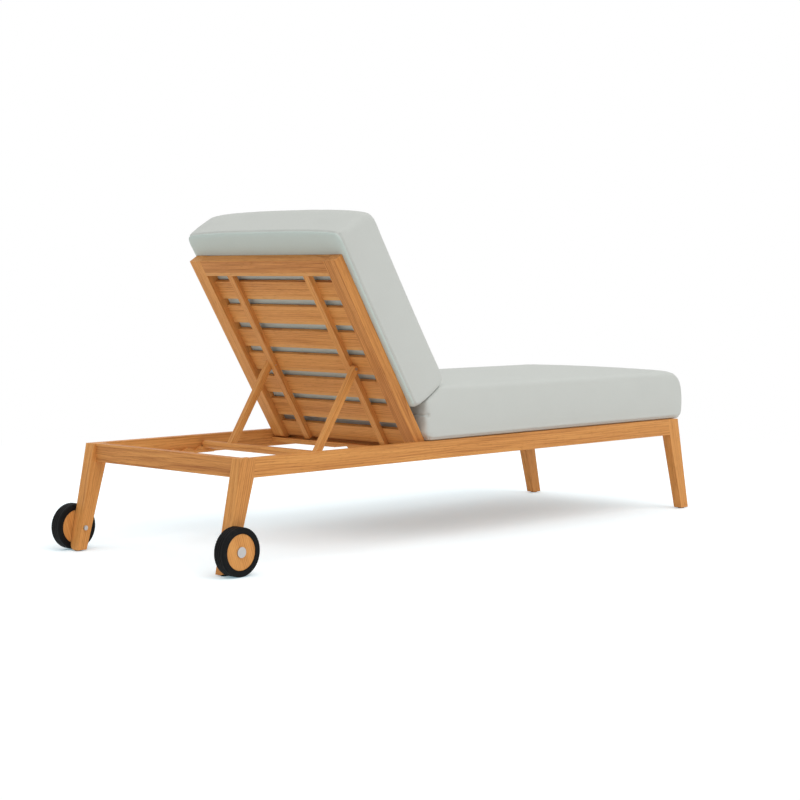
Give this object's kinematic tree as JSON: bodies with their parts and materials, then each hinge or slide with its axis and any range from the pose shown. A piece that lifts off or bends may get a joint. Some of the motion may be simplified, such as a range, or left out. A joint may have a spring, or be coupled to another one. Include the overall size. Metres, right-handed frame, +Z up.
{
  "type": "chaise lounger",
  "caption": "Wooden chaise lounger with a slatted backrest that tilts on a notched prop, wheels at the head end and a loose seat and back cushion.",
  "frame": {"origin": "on the floor, under the middle of the overall length and width", "axes": "+X from the head end with the wheels to the foot end, +Y to the left of someone who lies on it, +Z up"},
  "size_m": [2.172, 0.7916, 1.0058],
  "materials": {
    "teak": "oiled satin",
    "cushion": "matt woven",
    "tyre": "matt",
    "steel": "satin",
    "bush": "matt",
    "glide": "matt"
  },
  "bodies": {
    "frame": {"side_rail_left": "teak", "side_rail_right": "teak", "head_rail": "teak", "foot_rail": "teak", "head_leg_left": "teak", "head_leg_right": "teak", "foot_leg_left": "teak", "foot_leg_right": "teak", "leg_glides": "glide", "hinge_rail": "teak", "seat_ledger_left": "teak", "seat_ledger_right": "teak", "seat_slat_1": "teak", "seat_slat_2": "teak", "seat_slat_3": "teak", "seat_slat_4": "teak", "seat_slat_5": "teak", "seat_slat_6": "teak", "seat_slat_7": "teak", "seat_slat_8": "teak", "seat_slat_9": "teak", "seat_slat_10": "teak", "seat_slat_11": "teak", "seat_slat_12": "teak", "slat_screws": "steel", "ratchet_strip_left": "teak", "ratchet_strip_right": "teak", "hinge_pins": "steel", "axle_bolt_left": "steel", "axle_bolt_right": "steel", "axle_spacers": "steel", "axle_nuts": "steel", "seat_cushion": "cushion"},
    "backrest": {"back_stile_left": "teak", "back_stile_right": "teak", "back_top_rail": "teak", "back_bottom_rail": "teak", "back_slat_1": "teak", "back_slat_2": "teak", "back_slat_3": "teak", "back_slat_4": "teak", "back_slat_5": "teak", "back_slat_6": "teak", "back_batten_left": "teak", "back_batten_right": "teak", "hinge_bushes": "bush", "prop_pins": "steel", "back_cushion": "cushion"},
    "prop": {"prop_arm_left": "teak", "prop_arm_right": "teak", "prop_crossbar": "teak"},
    "wheel_left": {"tyre_left": "tyre", "wheel_hub_left": "teak", "wheel_bush_left": "bush"},
    "wheel_right": {"tyre_right": "tyre", "wheel_hub_right": "teak", "wheel_bush_right": "bush"}
  },
  "joints": [
    {"name": "backrest_recline", "type": "hinge", "parent": "frame", "child": "backrest", "pos_m": [-0.2425, 0, 0.311], "axis": [0, 1, 0], "range_deg": [-58.34, 0]},
    {"name": "prop_swing", "type": "hinge", "parent": "backrest", "child": "prop", "pos_m": [-0.39462, 0, 0.53769], "axis": [0, 1, 0], "range_deg": [0, 111.7]},
    {"name": "wheel_spin_left", "type": "hinge", "parent": "frame", "child": "wheel_left", "pos_m": [-1.0175, 0.3755, 0.0688], "axis": [0, 1, 0], "continuous": true},
    {"name": "wheel_spin_right", "type": "hinge", "parent": "frame", "child": "wheel_right", "pos_m": [-1.0175, -0.3755, 0.0688], "axis": [0, 1, 0], "continuous": true}
  ],
  "couplings": [
    {"joint": "prop_swing", "follows": "backrest_recline", "ratio": -1.9141}
  ]
}
